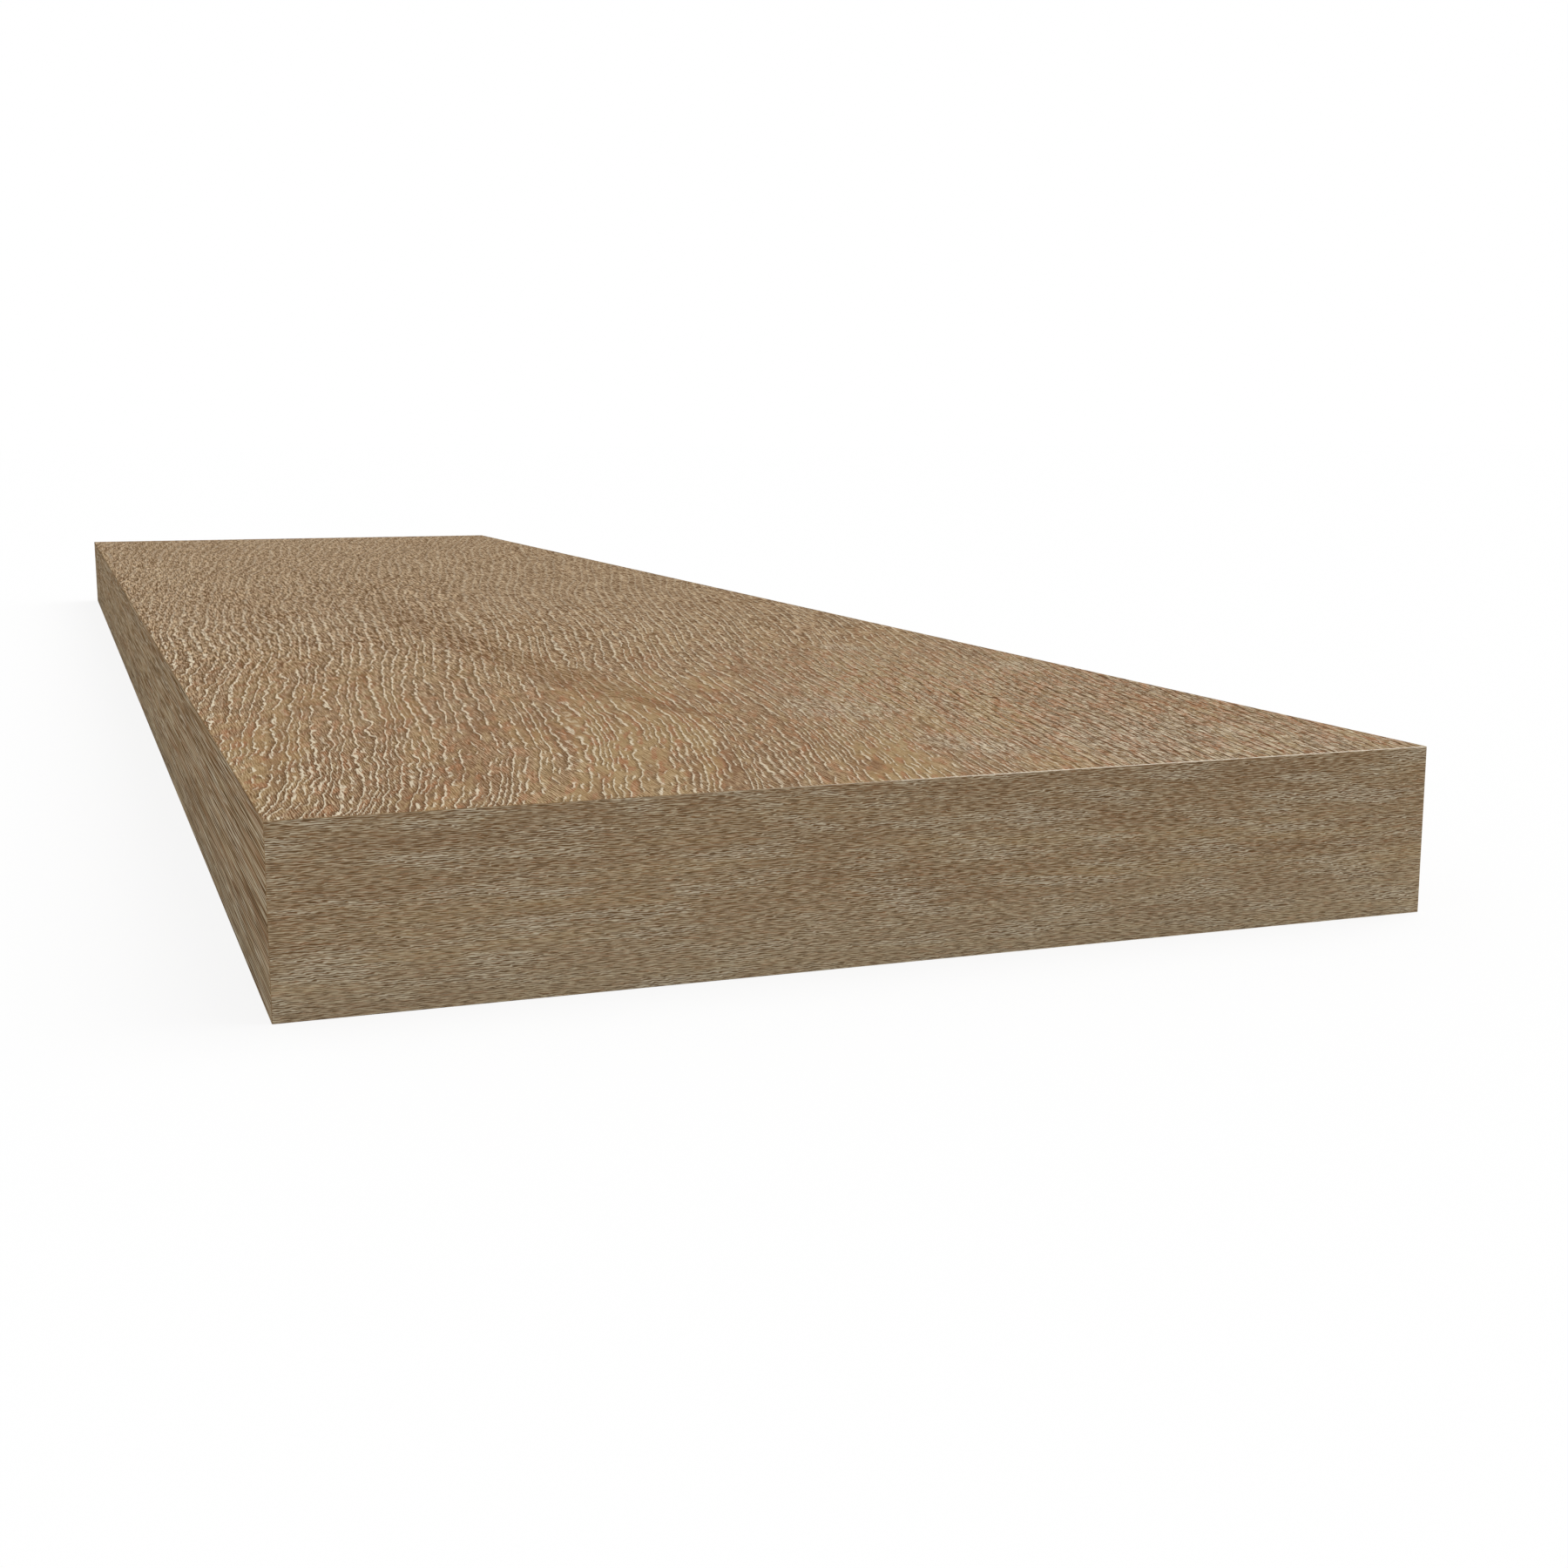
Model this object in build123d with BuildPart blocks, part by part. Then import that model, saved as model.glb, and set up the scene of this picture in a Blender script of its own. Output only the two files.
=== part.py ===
"""Square-edged stair tread: one solid board that lies flat, as it is stored and as it is trodden.

X runs along the tread, from one stringer to the other, and +X is the end on the right of someone going up.
Y runs from the front edge, which overhangs the riser below, to the back edge against the riser above.
Z is up. The origin is the middle of the underside.
"""

from build123d import *

import os

# Driving dimensions, in millimetres
tread_length = 1200.0
tread_depth = 300.0
tread_thickness = 45.0
# The arrises are only broken with fine abrasive, so the edges still look square
arris_radius = 0.8
# A pass on each upright corner takes off a little more
corner_radius = 1.2

# The board is sawn square, then its upright corners and its top and bottom arrises are eased
with BuildPart() as tread:
    with BuildSketch(Plane.XY) as outline:
        Rectangle(tread_length, tread_depth)
        fillet(outline.vertices(), radius=corner_radius)
    extrude(amount=tread_thickness)
    rims = tread.faces().filter_by(Plane.XY).edges()
    fillet(rims, radius=arris_radius)

tread.part.label = "tread"

os.makedirs("parts", exist_ok=True)
export_step(tread.part, "parts/tread.step")
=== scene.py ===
"""Limed oak stair tread: one brushed board, shown on a plain stage.

The board lies on its underside. X runs along the grain to the end nearest the camera, Y from the front
edge to the back edge, and Z is up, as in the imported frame. All sizes are in metres.
"""

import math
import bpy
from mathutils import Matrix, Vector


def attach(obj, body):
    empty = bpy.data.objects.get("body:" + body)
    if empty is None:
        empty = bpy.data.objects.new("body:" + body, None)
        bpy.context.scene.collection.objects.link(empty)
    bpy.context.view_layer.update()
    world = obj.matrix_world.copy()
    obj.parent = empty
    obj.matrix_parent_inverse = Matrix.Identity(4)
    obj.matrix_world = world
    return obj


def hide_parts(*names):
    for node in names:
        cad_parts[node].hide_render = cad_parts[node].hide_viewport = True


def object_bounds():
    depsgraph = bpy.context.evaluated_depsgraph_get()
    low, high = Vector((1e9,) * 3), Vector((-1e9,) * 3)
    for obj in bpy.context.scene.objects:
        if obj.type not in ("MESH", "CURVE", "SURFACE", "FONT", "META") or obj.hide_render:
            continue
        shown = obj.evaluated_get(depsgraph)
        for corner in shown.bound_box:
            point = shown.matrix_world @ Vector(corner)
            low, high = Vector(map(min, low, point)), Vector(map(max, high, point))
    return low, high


bl_info = {
    "name": "Limed Oak Stair Tread",
    "version": (1, 0, 0),
    "blender": (4, 5, 0),
    "location": "3D Viewport > Sidebar > Stair Tread",
    "description": "Builds a brushed and limed oak stair tread with its floor, lamps and camera",
    "category": "Add Mesh",
}

from types import SimpleNamespace

import bmesh
import bpy
from bpy.props import FloatProperty, FloatVectorProperty, IntProperty, PointerProperty

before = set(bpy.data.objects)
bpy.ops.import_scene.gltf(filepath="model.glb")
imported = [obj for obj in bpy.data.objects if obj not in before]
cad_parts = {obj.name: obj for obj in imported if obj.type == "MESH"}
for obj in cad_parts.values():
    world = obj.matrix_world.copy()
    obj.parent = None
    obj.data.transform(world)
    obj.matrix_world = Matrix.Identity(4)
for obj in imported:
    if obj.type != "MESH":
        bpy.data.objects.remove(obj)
cad_low, cad_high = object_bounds()

MM = 0.001
NODE = "tread"
BODY = "root"

MATH = "ShaderNodeMath"
VECTOR_MATH = "ShaderNodeVectorMath"
NOISE = "ShaderNodeTexNoise"
RANGE = "ShaderNodeMapRange"
MIX = "ShaderNodeMix"
SPLIT = "ShaderNodeSeparateXYZ"
JOIN = "ShaderNodeCombineXYZ"

# What a Math node does, a Range node that eases in and out, and a Mix node for colours with the sockets
# of its two colours
PLUS = {"operation": "ADD"}
TIMES = {"operation": "MULTIPLY"}
TIMES_PLUS = {"operation": "MULTIPLY_ADD"}
SMOOTH = {"interpolation_type": "SMOOTHSTEP"}
COLOURS = {"data_type": "RGBA", "out": 2}
FIRST, SECOND = 6, 7


def linear(colour):
    """Turns an sRGB hex value such as "#9A8267" into a linear colour."""
    parts = (int(colour[i : i + 2], 16) / 255 for i in (1, 3, 5))
    return tuple(p / 12.92 if p <= 0.04045 else ((p + 0.055) / 1.055) ** 2.4 for p in parts)


def colour_property(name, colour, description):
    return FloatVectorProperty(
        name=name,
        description=description,
        subtype="COLOR",
        size=3,
        min=0.0,
        max=1.0,
        default=linear(colour),
    )


def length_property(name, millimetres, description):
    return FloatProperty(
        name=name,
        description=description,
        unit="LENGTH",
        subtype="DISTANCE",
        precision=5,
        default=millimetres * MM,
    )


class TreadBoardSettings(bpy.types.PropertyGroup):
    """Sizes of the board's mesh"""

    arris_radius: length_property("Arris", 0.8, "Rounding along the top and bottom edges")
    corner_radius: length_property("Corner", 1.2, "Rounding of the four upright corners")
    cells_along: IntProperty(
        name="Cells along", description="Mesh cells along the board", default=310, min=10
    )
    cells_across: IntProperty(
        name="Cells across", description="Mesh cells across the board", default=280, min=10
    )
    relief: length_property("Relief", 0.22, "Depth that the brush has worn beside each growth ring")


class TreadGrainSettings(bpy.types.PropertyGroup):
    """Sizes of the grain on the wide faces"""

    ring_pitch: length_property("Ring pitch", 3.3, "Growth rings, from one to the next at the near end")
    line_width: length_property("Lime line", 0.30, "Half the width of the lime in a growth ring")
    pore_width: length_property("Pore width", 0.36, "Width of the finest open pores")
    pore_length: length_property("Pore length", 3.8, "Length of the finest open pores")


class TreadColourSettings(bpy.types.PropertyGroup):
    """Colours of the oak and its lime, with painted shade beside the lime and a painted highlight on the
    arrises
    """

    oak: colour_property("Oak", "#A07F59", "Brushed oak between the pores")
    oak_deep: colour_property("Deep oak", "#836248", "Denser wood of a growth ring")
    oak_warm: colour_property("Warm oak", "#A47453", "Redder wood in patches")
    oak_pale: colour_property("Pale oak", "#A58B64", "Lighter and more olive wood in patches")
    lime: colour_property("Lime", "#E0D3BA", "Lime wax on the growth rings")
    lime_thin: colour_property("Thin lime", "#D3BB99", "Lime wax left in the pores")
    lime_cool: colour_property("Cool lime", "#C0B6A2", "Thin lime over a wide patch")
    # Painted shade: the groove beside each line of lime takes this colour, which also darkens the open
    # pores and the thin ring lines
    shadow: colour_property("Shadow", "#573F28", "Stain caught beside each line of lime")
    # Painted highlight: the pale line along the back of the top arrises, standing in for light caught on
    # the edge
    arris_painted_highlight: colour_property("Arris lime", "#F2E6D4", "Lime wax caught along the back of the arrises")
    edge_oak: colour_property("Edge oak", "#8C7355", "Oak on the ends and long edges")
    # The deep edge oak and the edge lime also serve as painted shade towards the top of the edges and
    # painted light towards their bottom
    edge_deep_and_shade: colour_property("Deep edge oak", "#7C5F42", "Redder bands on the ends and long edges")
    edge_lime_and_light: colour_property("Edge lime", "#C9BDA2", "Lime on the ends and long edges")
    edge_shadow: colour_property("Edge shadow", "#54402B", "Dark pores on the ends and long edges")


class TreadStageSettings(bpy.types.PropertyGroup):
    """The floor, the lamps and the camera"""

    floor_size: length_property("Floor", 40000, "Side of the square floor")
    camera_beyond_end: length_property("Beyond the end", 432.6, "Camera's distance past the near end")
    camera_before_edge: length_property(
        "Before the edge", 41.7, "Camera's distance in front of the front edge"
    )
    camera_height: length_property("Camera height", 126.3, "Camera's height over the floor")
    camera_turn: FloatProperty(
        name="Turn",
        description="From straight along the board",
        subtype="ANGLE",
        default=math.radians(20.33),
    )
    camera_dip: FloatProperty(
        name="Dip", description="Below level", subtype="ANGLE", default=math.radians(9.89)
    )
    camera_lens: FloatProperty(name="Lens", description="In millimetres", default=46.07, min=1)
    sky: FloatProperty(name="Sky", description="Strength of the plain world light", default=0.66, min=0)
    key: FloatProperty(name="Key", description="Strength of the broad key light", default=1.38, min=0)
    key_height: FloatProperty(
        name="Key height", description="Over the horizon", subtype="ANGLE", default=math.radians(58)
    )
    key_turn: FloatProperty(
        name="Key turn",
        description="From the right of the board",
        subtype="ANGLE",
        default=math.radians(100),
    )
    key_breadth: FloatProperty(
        name="Key breadth",
        description="Angle that the key fills",
        subtype="ANGLE",
        default=math.radians(50),
    )


def add(tree, kind, inputs=(), out=0, **settings):
    """Adds a node with its settings, sets or links its inputs, and returns an output if it has one."""
    node = tree.nodes.new(kind)
    for name, value in settings.items():
        setattr(node, name, value)
    pairs = inputs.items() if isinstance(inputs, dict) else enumerate(inputs)
    for at, value in pairs:
        if isinstance(value, bpy.types.NodeSocket):
            tree.links.new(value, node.inputs[at])
        else:
            node.inputs[at].default_value = value
    return node.outputs[out] if node.outputs else None


# How far along one row of features lies from the next, in features
STAGGER = 0.37
# The share of a line's reach over which it shows in full
FULL_REACH = 0.45


def noise_at(tree, place, sizes, detail=1.0):
    """Noise at a place, where one feature has these sizes along, across and through the board."""
    split = add(tree, SPLIT, (add(tree, VECTOR_MATH, (place, [1 / s for s in sizes]), **TIMES),)).node
    along, across, through = split.outputs
    # Each row of features is staggered from the next, so that their ends don't line up
    staggered = add(tree, MATH, (across, STAGGER, along), **TIMES_PLUS)
    vector = add(tree, JOIN, (staggered, across, through))
    inputs = {"Vector": vector, "Scale": 1.0, "Detail": detail}
    return add(tree, NOISE, inputs, noise_dimensions="3D")


def swing(tree, value, noise, reach):
    """A value moved by up to about the reach either way, as noise says."""
    centred = add(tree, MATH, (noise, -0.5), **PLUS)
    return add(tree, MATH, (centred, 2 * reach, value), **TIMES_PLUS)


def near(tree, value, middle, reach):
    """1 where a value is close to the middle, falling smoothly to 0 at the reach either side."""
    off = add(tree, MATH, (add(tree, MATH, (value, -middle), **PLUS),), operation="ABSOLUTE")
    return add(tree, RANGE, (off, FULL_REACH * reach, reach, 1.0, 0.0), **SMOOTH)


def coat(tree, colour, *layers):
    """A colour under layers, each its own colour and the shares that together say how much of it shows.

    A share is a number, a socket, or a noise with the value where the layer starts, the value where it
    is full, and how much of it shows there.
    """
    for layer, *shares in layers:
        total = None
        for share in shares:
            if isinstance(share, tuple):
                noise, start, full, most = share
                share = add(tree, RANGE, (noise, start, full, 0.0, most), **SMOOTH)
            total = share if total is None else add(tree, MATH, (total, share), **TIMES)
        colour = add(tree, MIX, {0: total, FIRST: colour, SECOND: (*layer, 1.0)}, **COLOURS)
    return colour


# How the growth rings lie on the wide faces, seen from above
LEAN_AT_FRONT = math.tan(math.radians(5))
LEAN_AT_BACK = math.tan(math.radians(15))
BOARD_DEPTH = cad_high.y - cad_low.y
FAN = (LEAN_AT_BACK - LEAN_AT_FRONT) / BOARD_DEPTH
FAN_CENTRE = LEAN_AT_FRONT / FAN
# Towards the front edge they also bend away from the near end, by this much over this way
BEND = 16 * MM
BEND_WAY = 120 * MM
# Noise sizes have a third number, which sets the top and the underside apart
THROUGH = 60 * MM
# This many more rings are crowded into the back half of the depth
CROWDED_RINGS = 8.0
# The rings' own lines, then the shorter ones between them: how far from the ring's middle, in pitches,
# their length, and the noise at which they start and at which they are whole
RING_LINE = (0.0, 15 * MM, 0.40, 0.48)
LINE_BETWEEN = (0.5, 9 * MM, 0.50, 0.57)
# Each ring's noise is taken this far from the next ring's, so that each comes and goes in its own way
RING_APART = 80 * MM


def ring_lines(tree, place, grain):
    """The growth rings of a wide face: how far a point is from their lines, and places along them."""
    split = add(tree, SPLIT, (place,)).node
    along, across, through = split.outputs
    way = add(tree, MATH, (along, -1.0, cad_high.x), **TIMES_PLUS)
    # The rings fan out away from the near end, so that their lines lean more towards the back edge
    shrink = add(tree, MATH, (add(tree, MATH, (way, -FAN), **TIMES),), operation="EXPONENT")
    from_centre = add(tree, MATH, (across, FAN_CENTRE - cad_low.y), **PLUS)
    fading = add(tree, MATH, (add(tree, MATH, (way, -1 / BEND_WAY), **TIMES),), operation="EXPONENT")
    bend = add(tree, RANGE, (across, cad_low.y, cad_low.y + 0.6 * BOARD_DEPTH, BEND, 0.0))
    from_centre = add(tree, MATH, (fading, bend, from_centre), **TIMES_PLUS)
    fanned = add(tree, MATH, (from_centre, shrink), **TIMES)
    place_fanned = add(tree, JOIN, (along, fanned, through))
    # Long sways, then short curls, then the steps from one pore to the next, which lie along the board
    sway = noise_at(tree, place_fanned, (260 * MM, 100 * MM, THROUGH))
    swayed = swing(tree, fanned, sway, 9 * MM)
    place_swayed = add(tree, JOIN, (along, swayed, through))
    curl = noise_at(tree, place_swayed, (26 * MM, 15 * MM, THROUGH))
    curl_short = noise_at(tree, place_swayed, (9 * MM, 6 * MM, THROUGH))
    step = noise_at(tree, place, (8 * MM, 1.4 * MM, THROUGH))
    curls = swing(tree, 0.0, curl, 1.8 * MM)
    curls = swing(tree, curls, curl_short, 1.1 * MM)
    curls = swing(tree, curls, step, 0.7 * MM)
    # The lines straighten towards the back edge
    calm = add(tree, RANGE, (across, cad_low.y, cad_high.y, 1.0, 0.3))
    line = add(tree, MATH, (curls, calm, swayed), **TIMES_PLUS)
    spread = noise_at(tree, place_swayed, (150 * MM, 9 * MM, THROUGH), detail=0.0)
    middle = FAN_CENTRE + BOARD_DEPTH / 2
    crowd = add(tree, RANGE, (line, middle, middle + BOARD_DEPTH / 2, 0.0, CROWDED_RINGS))
    count = add(tree, MATH, (line, 1 / grain.ring_pitch, crowd), **TIMES_PLUS)
    count = swing(tree, count, spread, 0.7)
    # The lines show in groups with plain wood between, boldest near the front edge and the near end
    group = noise_at(tree, place_swayed, (60 * MM, 17 * MM, THROUGH))
    bold_near = add(tree, RANGE, (way, 300 * MM, 620 * MM, 1.0, 0.4), **SMOOTH)
    bold_front = add(tree, RANGE, (across, cad_low.y, cad_high.y, 1.0, 0.6))
    bold = add(tree, MATH, (bold_near, bold_front), **TIMES)
    # The lines are less broken away from the near end, and close together over its front
    whole = add(tree, RANGE, (way, 50 * MM, 200 * MM, 0.0, 0.1), **SMOOTH)
    front = add(tree, RANGE, (across, cad_low.y + 30 * MM, cad_low.y + 90 * MM, 0.05, 0.0), **SMOOTH)
    end = add(tree, RANGE, (way, 40 * MM, 120 * MM, 1.0, 0.0), **SMOOTH)
    group = add(tree, MATH, (whole, group), **PLUS)
    group = add(tree, MATH, (front, end, group), **TIMES_PLUS)
    # Few of the lines between the rings are left away from the near end
    between = add(tree, RANGE, (way, 40 * MM, 200 * MM, 0.9, 0.2), **SMOOTH)
    sides, shares = [], []
    for (shift, length, start, full), share in ((RING_LINE, 1.0), (LINE_BETWEEN, between)):
        shifted = add(tree, MATH, (count, shift), **PLUS)
        ring = add(tree, MATH, (shifted,), operation="FLOOR")
        part = add(tree, MATH, (shifted,), operation="FRACT")
        # Distance from the middle of the line, positive towards the back edge
        sides.append(add(tree, MATH, (add(tree, MATH, (part, -0.5), **PLUS), grain.ring_pitch), **TIMES))
        # Each line comes and goes along the board
        apart = add(tree, MATH, (ring, RING_APART, shift), **TIMES_PLUS)
        ring_place = add(tree, JOIN, (along, apart, through))
        come = noise_at(tree, ring_place, (length, 20 * MM, THROUGH))
        shown = add(tree, RANGE, (swing(tree, come, group, 0.32), start, full), **SMOOTH)
        shown = add(tree, MATH, (shown, share), **TIMES)
        shares.append(add(tree, MATH, (shown, bold), **TIMES))
    return SimpleNamespace(
        way=way, across=across, place_swayed=place_swayed, line=line, sides=sides, shares=shares
    )


# The heart's line starts at its tip, some way from the near end, and bends towards the front as it goes
HEART_TIP = 100 * MM
HEART_BEND = 110 * MM
HEART_FAR = cad_low.y + 112 * MM
HEART_SWING = 36 * MM * math.exp(HEART_TIP / HEART_BEND)
HEART_WIDTH = 11 * MM
HEART_TIP_WIDTH = 0.5 * MM
HEART_END = 640 * MM
# Thin dark lines along the heart, and over the back half of the near end, from one to the next
HEART_LINES = 2.3 * MM
CORNER_LINES = 2.8 * MM
# How far those lines wander and how thick half of one is, as shares of that distance
LINE_WANDER = 1.2
LINE_REACH = 0.14


def heart_band(tree, rings):
    """The heart of the board, with few pores: its share at a point, and how far its middle is."""
    bend = add(tree, MATH, (rings.way, -1 / HEART_BEND), **TIMES)
    bend = add(tree, MATH, (bend,), operation="EXPONENT")
    middle = add(tree, MATH, (bend, HEART_SWING, HEART_FAR), **TIMES_PLUS)
    off = add(tree, MATH, (rings.across, middle), operation="SUBTRACT")
    ragged = noise_at(tree, rings.place_swayed, (40 * MM, 12 * MM, THROUGH))
    off = swing(tree, off, ragged, 6 * MM)
    widths = (HEART_TIP_WIDTH, HEART_WIDTH)
    width = add(tree, RANGE, (rings.way, HEART_TIP, HEART_TIP + 120 * MM, *widths), **SMOOTH)
    band = near(tree, add(tree, MATH, (off, width), operation="DIVIDE"), 0.0, 1.5)
    for end in (
        add(tree, RANGE, (rings.way, HEART_TIP, HEART_TIP + 20 * MM), **SMOOTH),
        add(tree, RANGE, (rings.way, HEART_END, HEART_END - 220 * MM), **SMOOTH),
    ):
        band = add(tree, MATH, (band, end), **TIMES)
    return band, off


def dark_lines(tree, distance, pitch, noise):
    """Fine lines a pitch apart over a distance, which wander as noise says."""
    count = swing(tree, add(tree, MATH, (distance, 1 / pitch), **TIMES), noise, LINE_WANDER)
    return near(tree, add(tree, MATH, (count,), operation="FRACT"), 0.5, LINE_REACH)


# Thin cool lime lies over the top in patches, this much longer than wide. Each has its distance from the
# near end, its distance from the front edge, and its reach
COOL_SHAPE = 1.5
COOL_PATCHES = (
    (125 * MM, 184 * MM, 26 * MM),
    (46 * MM, 190 * MM, 20 * MM),
    (20 * MM, 250 * MM, 60 * MM),
    (205 * MM, 284 * MM, 18 * MM),
    (286 * MM, 248 * MM, 14 * MM),
)


def cool_lime(tree, rings):
    """How much thin cool lime lies over the wide face."""
    flat = add(tree, JOIN, (rings.way, add(tree, MATH, (rings.across, COOL_SHAPE), **TIMES), 0.0))
    total = 0.0
    for way, from_front, reach in COOL_PATCHES:
        centre = (way, COOL_SHAPE * (from_front + cad_low.y), 0.0)
        off = add(tree, VECTOR_MATH, (flat, centre), out="Value", operation="DISTANCE")
        # A patch is thin at its reach and gone a little past it
        patch = near(tree, off, 0.0, 1.3 * reach)
        total = add(tree, MATH, (total, patch), operation="MAXIMUM")
    return total


def blank_material(name):
    """A new material with no nodes yet."""
    material = bpy.data.materials.new(name)
    material.use_nodes = True
    material.node_tree.nodes.clear()
    return material


def fibres(tree, place, across, pitch, sizes):
    """Close fibres, dark at 0 and pale at 1, broken into dashes of these sizes as they wander."""
    wander = noise_at(tree, place, sizes)
    count = swing(tree, add(tree, MATH, (across, 1 / pitch), **TIMES), wander, 2.0)
    return add(tree, MATH, (count, 1.0), operation="PINGPONG")


# Sizes of the changes of colour in the oak, along and across the board
SWEEP = (240 * MM, 36 * MM, THROUGH)
TONE = (50 * MM, 15 * MM, THROUGH)
PATCH = (70 * MM, 16 * MM, THROUGH)
BAND = (60 * MM, 7 * MM, THROUGH)
CAST = (14 * MM, 2.6 * MM, THROUGH)
# Sizes of the longer open pores, the last two coarser than real ones, to show on the far half
MIDDLING_PORE = (7.5 * MM, 0.55 * MM, THROUGH)
LONG_PORE = (9 * MM, 0.52 * MM, THROUGH)
LONGEST_PORE = (24 * MM, 0.75 * MM, THROUGH)
# The fibres between the pores: from one to the next, and the dashes that they are broken into
FIBRE_PITCH = 0.36 * MM
FIBRE_DASH = (5 * MM, 1.3 * MM, THROUGH)
# How high the crests and the wood between the pores stand, in millimetres
CREST_HEIGHT = 0.12
WOOD_HEIGHT = 0.25


def wide_face_material(grain, colours):
    """Brushed oak with lime wax in its pores: matt, with pale raised lines, each with a dark side of
    painted shade.
    """
    material = blank_material("oak_limed_brushed")
    tree = material.node_tree
    place = add(tree, "ShaderNodeTexCoord", out="Object")
    rings = ring_lines(tree, place, grain)
    heart, off_heart = heart_band(tree, rings)
    not_heart = add(tree, MATH, (heart, -0.6, 1.0), **TIMES_PLUS)
    cool = cool_lime(tree, rings)

    # The oak under the lime: soft bands of denser, redder and more olive wood
    sweep = noise_at(tree, rings.place_swayed, SWEEP)
    tone = swing(tree, noise_at(tree, rings.place_swayed, TONE), sweep, 0.55)
    band = noise_at(tree, rings.place_swayed, BAND, detail=2.0)
    cast = noise_at(tree, rings.place_swayed, CAST, detail=2.0)
    colour = coat(
        tree,
        (*colours.oak, 1.0),
        (colours.oak_pale, (tone, 0.50, 0.38, 0.8)),
        (colours.oak_deep, (tone, 0.52, 0.62, 0.9)),
        (colours.oak_pale, (cast, 0.48, 0.36, 0.6)),
        (colours.oak_warm, (cast, 0.52, 0.64, 0.9)),
        (colours.oak_deep, (band, 0.52, 0.68, 0.7)),
        (colours.oak_deep, heart, 0.3),
        # The oak is also drawn darker towards the far end
        (colours.oak_deep, (rings.way, 50 * MM, 600 * MM, 0.9)),
    )

    # Open pores lie along the board: dashes of four sizes, pale with lime or dark where it has come out
    fine = noise_at(tree, place, (grain.pore_length, grain.pore_width, THROUGH))
    middling = noise_at(tree, place, MIDDLING_PORE)
    long = noise_at(tree, place, LONG_PORE, detail=0.0)
    longest = noise_at(tree, place, LONGEST_PORE, detail=0.0)
    fibre = fibres(tree, place, rings.across, FIBRE_PITCH, FIBRE_DASH)
    # The brush opened the pores more in some patches than in others, and least in the heart
    patch = noise_at(tree, rings.place_swayed, PATCH, detail=2.0)
    opened = add(tree, RANGE, (swing(tree, patch, sweep, 0.3), 0.38, 0.58, 0.4, 1.0), **SMOOTH)
    opened = add(tree, MATH, (opened, not_heart), **TIMES)
    # The finest pores fade away from the near end, the middling ones show most a quarter of the way
    # along, and the longer ones show more and more
    more_common = add(tree, RANGE, (rings.way, 50 * MM, 300 * MM, 0.6, 1.3), **SMOOTH)
    less_common = add(tree, RANGE, (rings.way, 300 * MM, 600 * MM, 1.0, 0.4), **SMOOTH)
    common = opened
    for share in (more_common, less_common):
        common = add(tree, MATH, (common, share), **TIMES)
    less_fine = add(tree, RANGE, (rings.way, 120 * MM, 400 * MM, 1.0, 0.3), **SMOOTH)
    finest = add(tree, MATH, (opened, less_fine), **TIMES)
    coarse = add(tree, RANGE, (rings.way, 100 * MM, 400 * MM, 0.1, 0.8), **SMOOTH)
    coarsest = add(tree, RANGE, (rings.way, 350 * MM, 700 * MM, 0.0, 0.6), **SMOOTH)
    colour = coat(
        tree,
        colour,
        (colours.shadow, (longest, 0.50, 0.46, 0.9), coarsest),
        (colours.lime_thin, (longest, 0.57, 0.60, 1.0), coarsest),
        (colours.shadow, (long, 0.48, 0.44, 0.9), coarse),
        (colours.lime_thin, (long, 0.57, 0.60, 1.0), coarse),
        (colours.shadow, (middling, 0.47, 0.38, 0.6), common),
        (colours.lime_thin, (middling, 0.55, 0.63, 0.6), common),
        (colours.shadow, (fine, 0.46, 0.37, 0.4), finest),
        (colours.lime_thin, (fine, 0.56, 0.65, 0.4), finest),
        (colours.shadow, (fibre, 0.35, 0.10, 0.5), finest),
        (colours.lime_thin, (fibre, 0.65, 0.90, 0.5), finest),
    )

    # Over the back half of the near end the rings are thin dark lines, between redder wood and cool lime
    back_half = add(tree, RANGE, (rings.across, 0.0, 80 * MM), **SMOOTH)
    near_end = add(tree, RANGE, (rings.way, 360 * MM, 140 * MM), **SMOOTH)
    corner = add(tree, MATH, (back_half, near_end), **TIMES)
    unbroken = add(tree, RANGE, (middling, 0.40, 0.50, 0.4, 1.0), **SMOOTH)
    colour = coat(
        tree,
        colour,
        (colours.oak_warm, (cast, 0.50, 0.55, 0.5), corner),
        (colours.shadow, (fine, 0.43, 0.38, 0.6), corner),
        (colours.lime, (fine, 0.56, 0.61, 0.7), corner),
        (colours.lime_cool, (middling, 0.52, 0.57, 0.4), cool),
        (colours.lime, (fine, 0.55, 0.60, 0.5), cool),
        (colours.shadow, (fine, 0.45, 0.40, 0.5), cool),
        (colours.shadow, dark_lines(tree, rings.line, CORNER_LINES, band), corner, unbroken, 0.9),
        (colours.shadow, dark_lines(tree, off_heart, HEART_LINES, band), heart, unbroken, 0.8),
    )

    # A ring's own line has lime on its crest, broken as the pores are, and painted shade in the groove
    # before it
    breadth = add(tree, RANGE, (fine, 0.35, 0.62, 1.6, 0.6))
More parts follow.
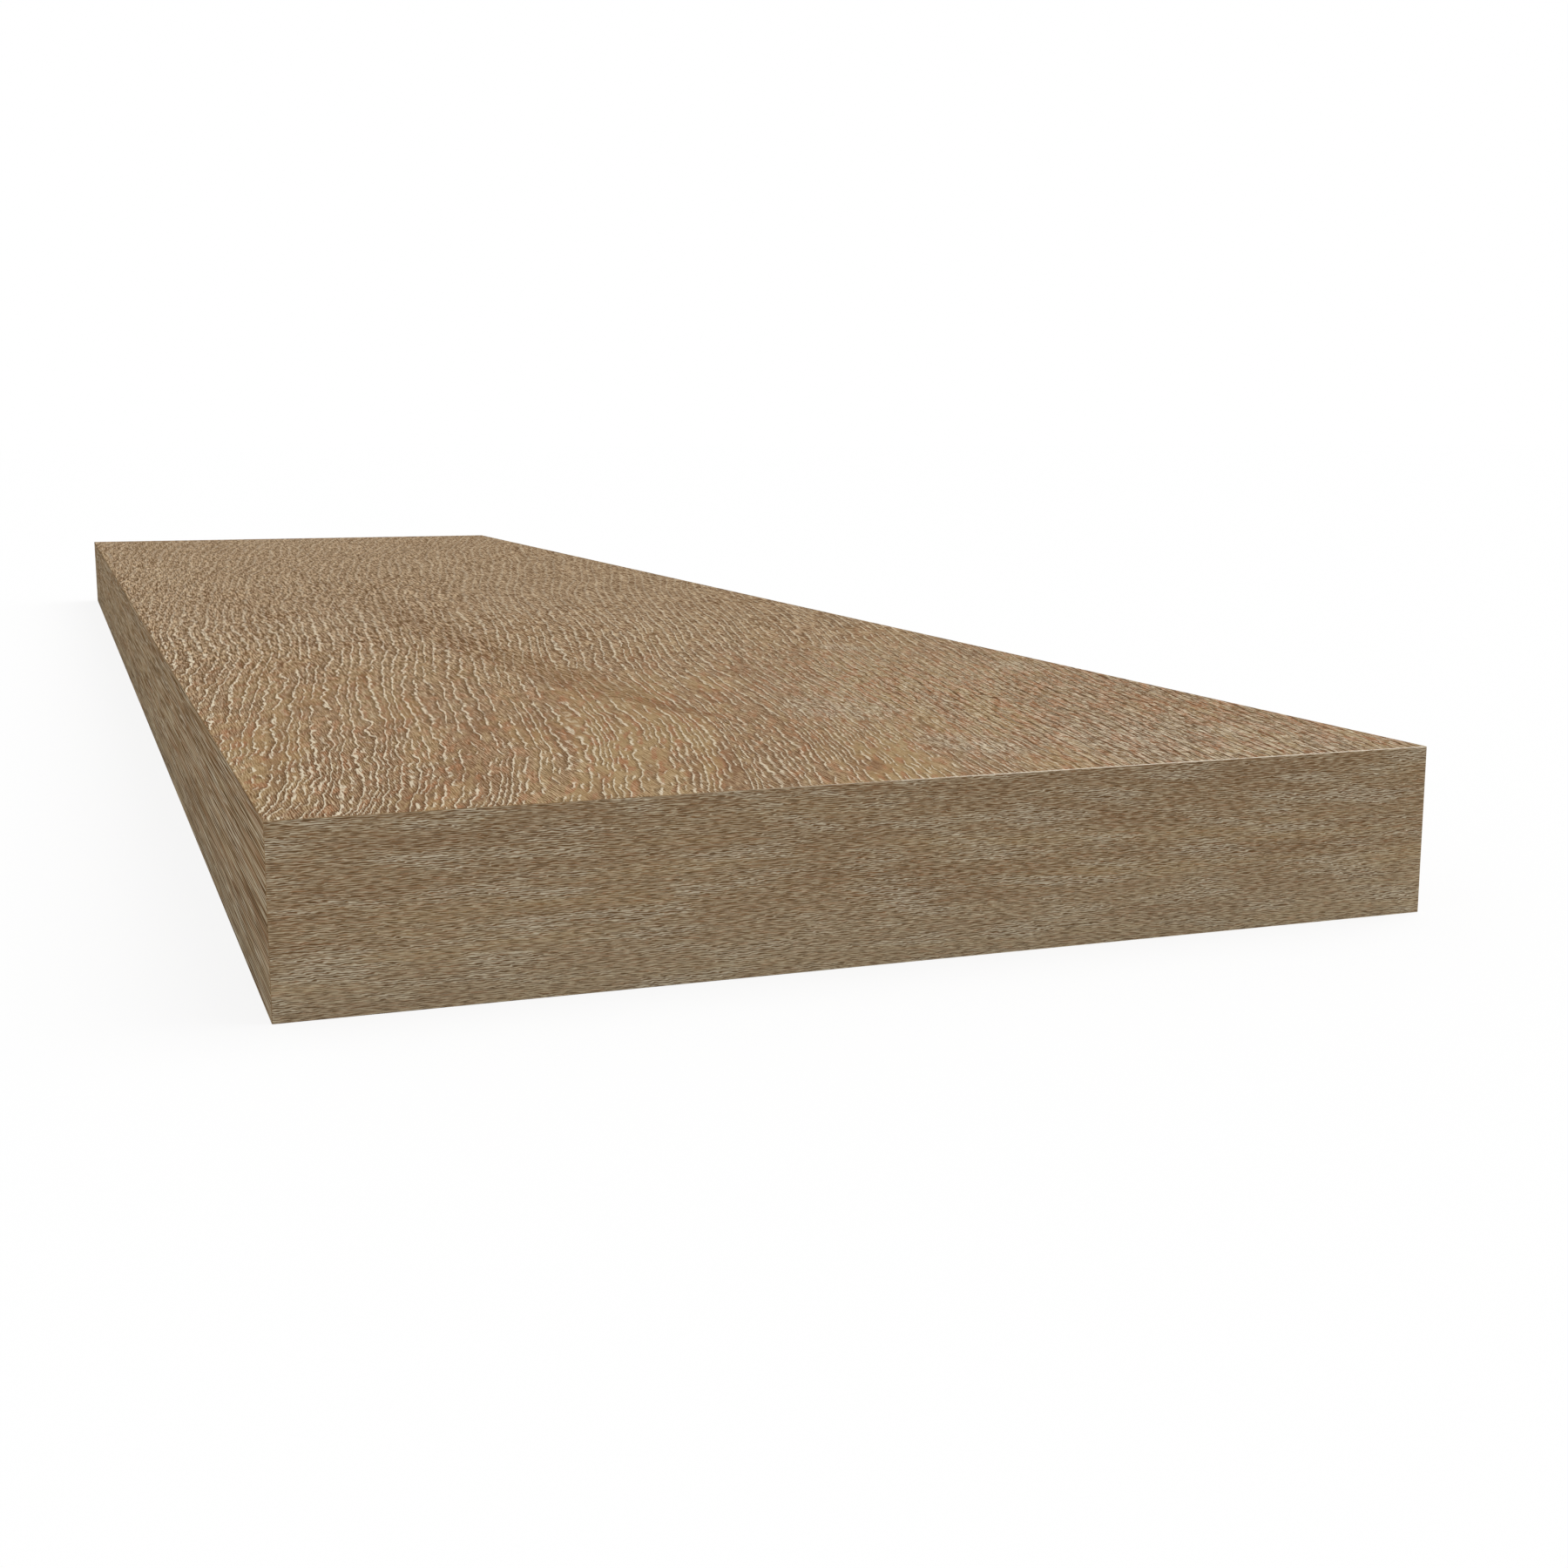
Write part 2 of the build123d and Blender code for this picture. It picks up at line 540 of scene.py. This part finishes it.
    # The lines are drawn wider towards the far end, where they would be too fine to show
    widened = add(tree, RANGE, (rings.way, 100 * MM, 500 * MM, 1.0, 0.55))
    breadth = add(tree, MATH, (breadth, widened), **TIMES)
    dimmed = add(tree, MATH, (corner, -0.5, 1.0), **TIMES_PLUS)
    crest, groove = 0.0, 0.0
    for side, strength in zip(rings.sides, rings.shares):
        side = add(tree, MATH, (side, breadth), **TIMES)
        for other in (unbroken, not_heart, dimmed):
            strength = add(tree, MATH, (strength, other), **TIMES)
        pale = add(tree, MATH, (near(tree, side, 0.0, grain.line_width), strength), **TIMES)
        # The dark side before each crest is painted shade, where a raised line would shade the wood
        # beside it
        dark = near(tree, side, -1.7 * grain.line_width, 1.1 * grain.line_width)
        dark = add(tree, MATH, (dark, strength), **TIMES)
        crest = add(tree, MATH, (crest, pale), operation="MAXIMUM")
        groove = add(tree, MATH, (groove, dark), operation="MAXIMUM")
    colour = coat(tree, colour, (colours.shadow, groove, 0.7), (colours.lime, crest, 0.9))

    height = add(tree, MATH, (crest, CREST_HEIGHT), **TIMES)
    height = add(tree, MATH, (groove, -CREST_HEIGHT, height), **TIMES_PLUS)
    height = add(tree, MATH, (fine, WOOD_HEIGHT, height), **TIMES_PLUS)
    bump = add(tree, "ShaderNodeBump", {"Strength": 0.6, "Distance": MM, "Height": height})
    # Wax is a little smoother than bare brushed oak
    finish(tree, colour, add(tree, RANGE, (crest, 0.0, 1.0, 0.78, 0.62)), bump)
    return material


def edge_material(colours, name, order, length, pitch, limed):
    """Oak planed and finely limed on an edge: closer and greyer grain than on the wide faces.

    The order says which axes run along, across and through. Fibres have a length and a pitch, and limed
    says how much lime lies over some patches.
    """
    material = blank_material(name)
    tree = material.node_tree
    split = add(tree, SPLIT, (add(tree, "ShaderNodeTexCoord", out="Object"),)).node
    along, across, through = (split.outputs[axis] for axis in order)
    place = add(tree, JOIN, (along, across, through))
    sway = noise_at(tree, place, (60 * MM, 14 * MM, THROUGH))
    swayed = swing(tree, across, sway, 1.5 * MM)
    wobble = noise_at(tree, place, (6 * length, 16 * pitch, THROUGH))
    place = add(tree, JOIN, (along, swing(tree, swayed, wobble, 0.2 * MM), through))

    band = noise_at(tree, place, (60 * MM, 5 * MM, THROUGH), detail=3.0)
    patch = noise_at(tree, place, (24 * MM, 4 * MM, THROUGH), detail=3.0)
    cast = noise_at(tree, place, (2 * length, 1.6 * pitch, THROUGH))
    fine = noise_at(tree, place, (length, 0.9 * pitch, THROUGH), detail=0.0)
    fibre = fibres(tree, place, across, pitch, (length, 2.8 * pitch, THROUGH))
    opened = add(tree, RANGE, (patch, 0.40, 0.62, 0.4, 1.0), **SMOOTH)
    colour = coat(
        tree,
        (*colours.edge_oak, 1.0),
        (colours.edge_deep_and_shade, (band, 0.48, 0.66, 0.7)),
        (colours.oak_pale, (band, 0.48, 0.34, 0.4)),
        (colours.oak_warm, (cast, 0.52, 0.64, 0.4)),
        # Painted shade and light: the edges are darker towards the top and lighter towards the bottom,
        # as light from the floor below would make them
        (colours.edge_deep_and_shade, (across, 0.5 * cad_high.z, cad_high.z, 0.5)),
        (colours.edge_lime_and_light, (across, 0.5 * cad_high.z, cad_low.z, 0.2)),
        (colours.edge_shadow, (fine, 0.46, 0.38, 0.6)),
        (colours.edge_lime_and_light, (fine, 0.54, 0.62, 0.4)),
        (colours.edge_shadow, (fibre, 0.40, 0.15, 0.65), opened),
        (colours.edge_lime_and_light, (fibre, 0.60, 0.85, 0.65), opened),
        (colours.lime_cool, (patch, 0.50, 0.64, limed), (fibre, 0.40, 0.80, 1.0)),
    )
    height = add(tree, MATH, (fine, 0.08), **TIMES)
    bump = add(tree, "ShaderNodeBump", {"Strength": 0.4, "Distance": MM, "Height": height})
    finish(tree, colour, add(tree, RANGE, (fine, 0.4, 0.6, 0.80, 0.72)), bump)
    return material


def arris_material(colours):
    """Oak along its arrises: edge oak towards the front, and a painted highlight towards the back, a
    pale line standing in for light caught along the edge.
    """
    material = blank_material("oak_arris_painted_highlight")
    tree = material.node_tree
    place = add(tree, "ShaderNodeTexCoord", out="Object")
    across = add(tree, SPLIT, (place,), out="Y")
    ragged_highlight = noise_at(tree, place, (60 * MM, 60 * MM, 30 * MM), detail=2.0)
    # The pale colour towards the back is a painted highlight, its end along the board made ragged by
    # noise
    back = add(tree, RANGE, (swing(tree, across, ragged_highlight, 80 * MM), -50 * MM, 30 * MM), **SMOOTH)
    fleck = noise_at(tree, place, (3 * MM, 3 * MM, 0.8 * MM), detail=2.0)
    colour = coat(
        tree,
        (*colours.edge_oak, 1.0),
        (colours.edge_shadow, (fleck, 0.50, 0.38, 0.5)),
        (colours.arris_painted_highlight, back),
        (colours.oak_pale, (fleck, 0.52, 0.66, 0.4)),
    )
    height = add(tree, MATH, (fleck, 0.1), **TIMES)
    bump = add(tree, "ShaderNodeBump", {"Strength": 0.3, "Distance": MM, "Height": height})
    finish(tree, colour, 0.75, bump)
    return material


def finish(tree, colour, roughness, bump):
    """Ends a material in matt waxed wood."""
    # Brushed wood has no shine, even at the grazing angle that the far half is seen from
    inputs = {"Base Color": colour, "Roughness": roughness, "Normal": bump}
    constants = {"IOR": 1.5, "Specular IOR Level": 0.0}
    shader = add(tree, "ShaderNodeBsdfPrincipled", inputs | constants)
    add(tree, "ShaderNodeOutputMaterial", {"Surface": shader})


# The brush keeps clear of the top's edges by this much, and is at its full depth this far in
BRUSH_CLEAR = 1.5 * MM
BRUSH_FULL = 4 * MM
# The groove that it wears lies this far in front of a ring's crest, and reaches this far to either side,
# which is wide enough for the mesh's cells to follow
GROOVE_OFF = 0.8 * MM
GROOVE_REACH = 1.6 * MM


def relief_nodes(board, grain):
    """Geometry nodes that sink the top face in front of each growth ring's crest."""
    tree = bpy.data.node_groups.new("brushed_relief", "GeometryNodeTree")
    tree.interface.new_socket("Geometry", in_out="INPUT", socket_type="NodeSocketGeometry")
    tree.interface.new_socket("Geometry", in_out="OUTPUT", socket_type="NodeSocketGeometry")
    board_in = add(tree, "NodeGroupInput")
    place = add(tree, "GeometryNodeInputPosition")
    rings = ring_lines(tree, place, grain)
    groove = near(tree, rings.sides[0], -GROOVE_OFF, GROOVE_REACH)
    depth = add(tree, MATH, (groove, -board.relief), **TIMES)
    # The brush lifts before the edges, which stay straight, and wears nothing but the top
    split = add(tree, SPLIT, (place,)).node
    ends = add(tree, MATH, (split.outputs[0],), operation="ABSOLUTE")
    edges = add(tree, MATH, (split.outputs[1],), operation="ABSOLUTE")
    for share in (
        rings.shares[0],
        add(tree, RANGE, (ends, cad_high.x - BRUSH_CLEAR, cad_high.x - BRUSH_FULL), **SMOOTH),
        add(tree, RANGE, (edges, cad_high.y - BRUSH_CLEAR, cad_high.y - BRUSH_FULL), **SMOOTH),
        add(tree, MATH, (split.outputs[2], cad_high.z - 0.01 * MM), operation="GREATER_THAN"),
    ):
        depth = add(tree, MATH, (depth, share), **TIMES)
    offset = add(tree, JOIN, (0.0, 0.0, depth))
    moved = add(tree, "GeometryNodeSetPosition", {"Geometry": board_in, "Offset": offset})
    add(tree, "NodeGroupOutput", (moved,))
    return tree


# The board's materials are in the order of the axes that their faces look along: the ends' X, the long
# edges' Y and the wide faces' Z, with the arrises last
ARRIS = 3


def board_mesh(board):
    """A sheet of cells for the top face, drawn down into a board whose edges and corners are eased."""
    mesh = bpy.data.meshes.new("tread_board")
    sheet = bmesh.new()
    centre = (cad_low + cad_high) / 2
    size = cad_high - cad_low
    bmesh.ops.create_grid(sheet, x_segments=board.cells_along, y_segments=board.cells_across, size=0.5)
    bmesh.ops.scale(sheet, vec=(size.x, size.y, 1), verts=sheet.verts)
    bmesh.ops.translate(sheet, vec=(centre.x, centre.y, cad_high.z), verts=sheet.verts)
    # The outermost cells are widened, so that the eased corners fit inside them
    border = 1.5 * board.corner_radius
    for axis, cells in ((0, board.cells_along), (1, board.cells_across)):
        cell = size[axis] / cells
        for vertex in sheet.verts:
            inset = size[axis] / 2 - abs(vertex.co[axis] - centre[axis])
            if 0.5 * cell < inset < 1.5 * cell and cell < border:
                vertex.co[axis] += math.copysign(inset - border, vertex.co[axis] - centre[axis])
    drawn = bmesh.ops.extrude_face_region(sheet, geom=sheet.faces[:])
    lower = [g for g in drawn["geom"] if isinstance(g, bmesh.types.BMVert)]
    bmesh.ops.translate(sheet, vec=(0, 0, -size.z), verts=lower)
    bmesh.ops.recalc_face_normals(sheet, faces=sheet.faces)

    def at_side(vertex, axis):
        return abs(abs(vertex.co[axis] - centre[axis]) - size[axis] / 2) < 1e-6

    def at_corner(edge):
        return all(at_side(vertex, axis) for vertex in edge.verts for axis in (0, 1))

    # The bevel that follows rounds each edge by its weight, and the corners by the most
    weight = sheet.edges.layers.float.new("bevel_weight_edge")
    for edge in sheet.edges:
        if at_corner(edge):
            edge[weight] = 1.0
        elif edge.calc_face_angle(0) > math.radians(60):
            edge[weight] = board.arris_radius / board.corner_radius
    # The underside is never brushed, so its cells become one face
    under = [f for f in sheet.faces if f.normal.z < -0.99]
    bmesh.ops.dissolve_faces(sheet, faces=under)
    sheet.to_mesh(mesh)
    sheet.free()
    return mesh


def dress_faces(mesh):
    """Gives each face the material of the way it looks, and shades only the top smooth."""
    sheet = bmesh.new()
    sheet.from_mesh(mesh)
    for face in sheet.faces:
        facing = [abs(c) for c in face.normal]
        flat = max(facing) > 0.99 or (max(facing) > 0.8 and facing[2] < 0.5)
        face.material_index = facing.index(max(facing)) if flat else ARRIS
        face.smooth = face.normal.z > 0.99
    # Each cell of the top is split on the diagonal that the grain leans along
    top = [f for f in sheet.faces if f.smooth]
    bmesh.ops.triangulate(sheet, faces=top, quad_method="FIXED")
    sheet.to_mesh(mesh)
    sheet.free()


class TREAD_OT_board(bpy.types.Operator):
    """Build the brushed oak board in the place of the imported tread"""

    bl_idname = "stair_tread.board"
    bl_label = "Board"

    def execute(self, context):
        board = context.scene.tread_board
        grain = context.scene.tread_grain
        colours = context.scene.tread_colours
        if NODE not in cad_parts:
            raise RuntimeError("the packed frame has no tread")
        mesh = board_mesh(board)
        # The edges' fibres are drawn as coarse as it takes to show
        end = {"length": 2.6 * MM, "pitch": 0.25 * MM, "limed": 0.5}
        long_edge = {"length": 50 * MM, "pitch": 0.5 * MM, "limed": 0.4}
        for material in (
            edge_material(colours, "oak_limed_end", (1, 2, 0), **end),
            edge_material(colours, "oak_limed_long_edge", (0, 2, 1), **long_edge),
            wide_face_material(grain, colours),
            arris_material(colours),
        ):
            mesh.materials.append(material)
        piece = bpy.data.objects.new("brushed_board", mesh)
        context.collection.objects.link(piece)
        eased = piece.modifiers.new("eased edges", "BEVEL")
        eased.limit_method = "WEIGHT"
        eased.width = board.corner_radius
        eased.segments = 3
        settle(context, piece)
        dress_faces(piece.data)
        relief = piece.modifiers.new("brushed relief", "NODES")
        relief.node_group = relief_nodes(board, grain)
        settle(context, piece)
        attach(piece, BODY)
        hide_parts(NODE)
        print("board triangles", sum(len(p.vertices) - 2 for p in piece.data.polygons))
        return {"FINISHED"}


def settle(context, piece):
    """Makes what the piece's modifiers give its own mesh."""
    depsgraph = context.evaluated_depsgraph_get()
    old = piece.data
    piece.data = bpy.data.meshes.new_from_object(
        piece.evaluated_get(depsgraph), preserve_all_data_layers=True, depsgraph=depsgraph
    )
    piece.modifiers.clear()
    bpy.data.meshes.remove(old)


def key_light(stage):
    """A broad soft light from far off, so that the floor is lit evenly to its horizon."""
    light = bpy.data.lights.new("key", "SUN")
    light.energy = stage.key
    light.angle = stage.key_breadth
    lamp = bpy.data.objects.new("key", light)
    bpy.context.collection.objects.link(lamp)
    level = math.radians(90)
    lamp.rotation_euler = (level - stage.key_height, 0, level + stage.key_turn)
    return lamp


def seen_directly(tree):
    """1 for what is seen directly, in a reflection or through glass, and 0 for light on the object."""
    rays = add(tree, "ShaderNodeLightPath").node.outputs
    seen = add(tree, MATH, (rays["Is Camera Ray"], rays["Is Glossy Ray"]), operation="MAXIMUM")
    return add(tree, MATH, (seen, rays["Is Transmission Ray"]), operation="MAXIMUM")


# How much of the floor's look is plain white, while the rest keeps the shadow
FLOOR_WHITE = 0.86


class TREAD_OT_stage(bpy.types.Operator):
    """Set out the pale floor, the soft lamps and the camera"""

    bl_idname = "stair_tread.stage"
    bl_label = "Stage"

    def execute(self, context):
        stage = context.scene.tread_stage
        mesh = bpy.data.meshes.new("floor")
        sheet = bmesh.new()
        bmesh.ops.create_grid(sheet, x_segments=1, y_segments=1, size=stage.floor_size / 2)
        bmesh.ops.translate(sheet, vec=(0, 0, cad_low.z), verts=sheet.verts)
        sheet.to_mesh(mesh)
        sheet.free()
        floor = bpy.data.objects.new("floor", mesh)
        context.collection.objects.link(floor)
        # Matt white paint, which also shows as plain white where no shadow falls
        material = blank_material("white_painted_floor")
        tree = material.node_tree
        matt = add(tree, "ShaderNodeBsdfDiffuse", {"Color": (*linear("#FAFAFA"), 1.0)})
        white = add(tree, "ShaderNodeEmission", {"Color": (1, 1, 1, 1), "Strength": 1.0})
        share = add(tree, MATH, (seen_directly(tree), FLOOR_WHITE), **TIMES)
        mixed = add(tree, "ShaderNodeMixShader", (share, matt, white))
        add(tree, "ShaderNodeOutputMaterial", {"Surface": mixed})
        mesh.materials.append(material)

        world = bpy.data.worlds.new("studio")
        context.scene.world = world
        world.use_nodes = True
        tree = world.node_tree
        tree.nodes.clear()
        soft = add(tree, "ShaderNodeBackground", {"Color": (1, 1, 1, 1), "Strength": stage.sky})
        white = add(tree, "ShaderNodeBackground", {"Color": (1, 1, 1, 1), "Strength": 1.0})
        mixed = add(tree, "ShaderNodeMixShader", (seen_directly(tree), soft, white))
        add(tree, "ShaderNodeOutputWorld", {"Surface": mixed})

        key_light(stage)

        camera = bpy.data.objects.new("camera", bpy.data.cameras.new("camera"))
        context.collection.objects.link(camera)
        camera.data.lens = stage.camera_lens
        camera.data.clip_start = 0.01
        camera.data.clip_end = 60
        camera.location = (
            cad_high.x + stage.camera_beyond_end,
            cad_low.y - stage.camera_before_edge,
            cad_low.z + stage.camera_height,
        )
        level = math.radians(90)
        camera.rotation_euler = (level - stage.camera_dip, 0, level - stage.camera_turn)
        context.scene.camera = camera
        context.scene.view_settings.view_transform = "Standard"
        return {"FINISHED"}


class TREAD_PT_panel(bpy.types.Panel):
    """Settings and build steps of the stair tread"""

    bl_idname = "TREAD_PT_panel"
    bl_label = "Stair Tread"
    bl_space_type = "VIEW_3D"
    bl_region_type = "UI"
    bl_category = "Stair Tread"

    def draw(self, context):
        for settings in (
            context.scene.tread_board,
            context.scene.tread_grain,
            context.scene.tread_colours,
            context.scene.tread_stage,
        ):
            box = self.layout.box()
            for name in settings.bl_rna.properties.keys():
                if name not in {"rna_type", "name"}:
                    box.prop(settings, name)
        self.layout.operator(TREAD_OT_board.bl_idname)
        self.layout.operator(TREAD_OT_stage.bl_idname)


CLASSES = (
    TreadBoardSettings,
    TreadGrainSettings,
    TreadColourSettings,
    TreadStageSettings,
    TREAD_OT_board,
    TREAD_OT_stage,
    TREAD_PT_panel,
)


def register():
    for cls in CLASSES:
        bpy.utils.register_class(cls)
    bpy.types.Scene.tread_board = PointerProperty(type=TreadBoardSettings)
    bpy.types.Scene.tread_grain = PointerProperty(type=TreadGrainSettings)
    bpy.types.Scene.tread_colours = PointerProperty(type=TreadColourSettings)
    bpy.types.Scene.tread_stage = PointerProperty(type=TreadStageSettings)


def unregister():
    del bpy.types.Scene.tread_stage
    del bpy.types.Scene.tread_colours
    del bpy.types.Scene.tread_grain
    del bpy.types.Scene.tread_board
    for cls in reversed(CLASSES):
        bpy.utils.unregister_class(cls)


def main():
    register()
    bpy.ops.stair_tread.stage()
    bpy.ops.stair_tread.board()


if __name__ == "__main__":
    main()
